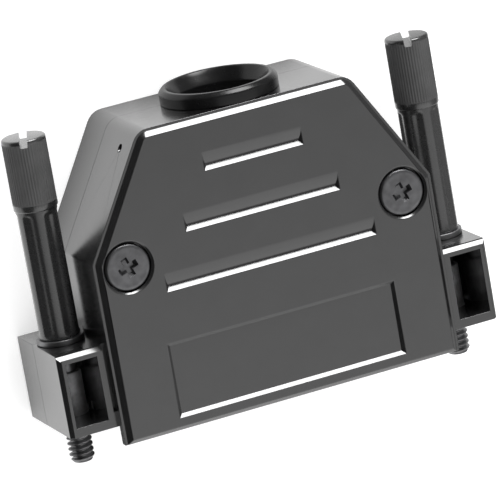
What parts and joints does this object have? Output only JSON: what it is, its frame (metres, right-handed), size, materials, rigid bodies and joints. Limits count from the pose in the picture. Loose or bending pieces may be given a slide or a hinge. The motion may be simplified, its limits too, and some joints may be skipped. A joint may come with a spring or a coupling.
{
  "type": "d-sub connector hood",
  "caption": "Two-shell connector hood with angled shoulders, ribbed front panel, side ears, long captive thumbscrews and a round cable entry.",
  "frame": {"origin": "midway between the two thumbscrew axes, in the plane that the connector's flange seats on", "axes": "+X across the hood, +Y from the connector towards the cable, +Z out of the front panel; the hood lies on its flat back face"},
  "size_m": [0.053, 0.0387, 0.0148],
  "materials": {
    "shell_plastic": "dark grey moulded thermoplastic, satin front panel and glossy sides",
    "grip_plastic": "dark grey moulded thermoplastic, glossy",
    "grommet_rubber": "smooth black elastomer",
    "dark_steel": "black-oxidised steel",
    "zinc_steel": "zinc-plated steel"
  },
  "bodies": {
    "housing": {"front_shell": "shell_plastic", "back_shell": "shell_plastic", "cable_grommet": "grommet_rubber", "cover_screw_left": "dark_steel", "cover_screw_right": "dark_steel", "cover_nut_left": "zinc_steel", "cover_nut_right": "zinc_steel", "clamp_bar_front": "zinc_steel", "clamp_bar_back": "zinc_steel", "clamp_screw_left": "zinc_steel", "clamp_screw_right": "zinc_steel", "clamp_nut_left": "zinc_steel", "clamp_nut_right": "zinc_steel"},
    "left_washer": {"screw_washer_left": "dark_steel"},
    "left_thumbscrew": {"thumb_grip_left": "grip_plastic", "jackscrew_left": "dark_steel"},
    "right_washer": {"screw_washer_right": "dark_steel"},
    "right_thumbscrew": {"thumb_grip_right": "grip_plastic", "jackscrew_right": "dark_steel"}
  },
  "joints": [
    {"name": "left_draw", "type": "slide", "parent": "housing", "child": "left_washer", "axis": [0, 1, 0], "range_m": [0, 0.0024]},
    {"name": "left_turn", "type": "hinge", "parent": "left_washer", "child": "left_thumbscrew", "pos_m": [-0.02352, 0.02, 0], "axis": [0, 1, 0], "continuous": true},
    {"name": "right_draw", "type": "slide", "parent": "housing", "child": "right_washer", "axis": [0, 1, 0], "range_m": [0, 0.0024]},
    {"name": "right_turn", "type": "hinge", "parent": "right_washer", "child": "right_thumbscrew", "pos_m": [0.02352, 0.02, 0], "axis": [0, 1, 0], "continuous": true}
  ]
}
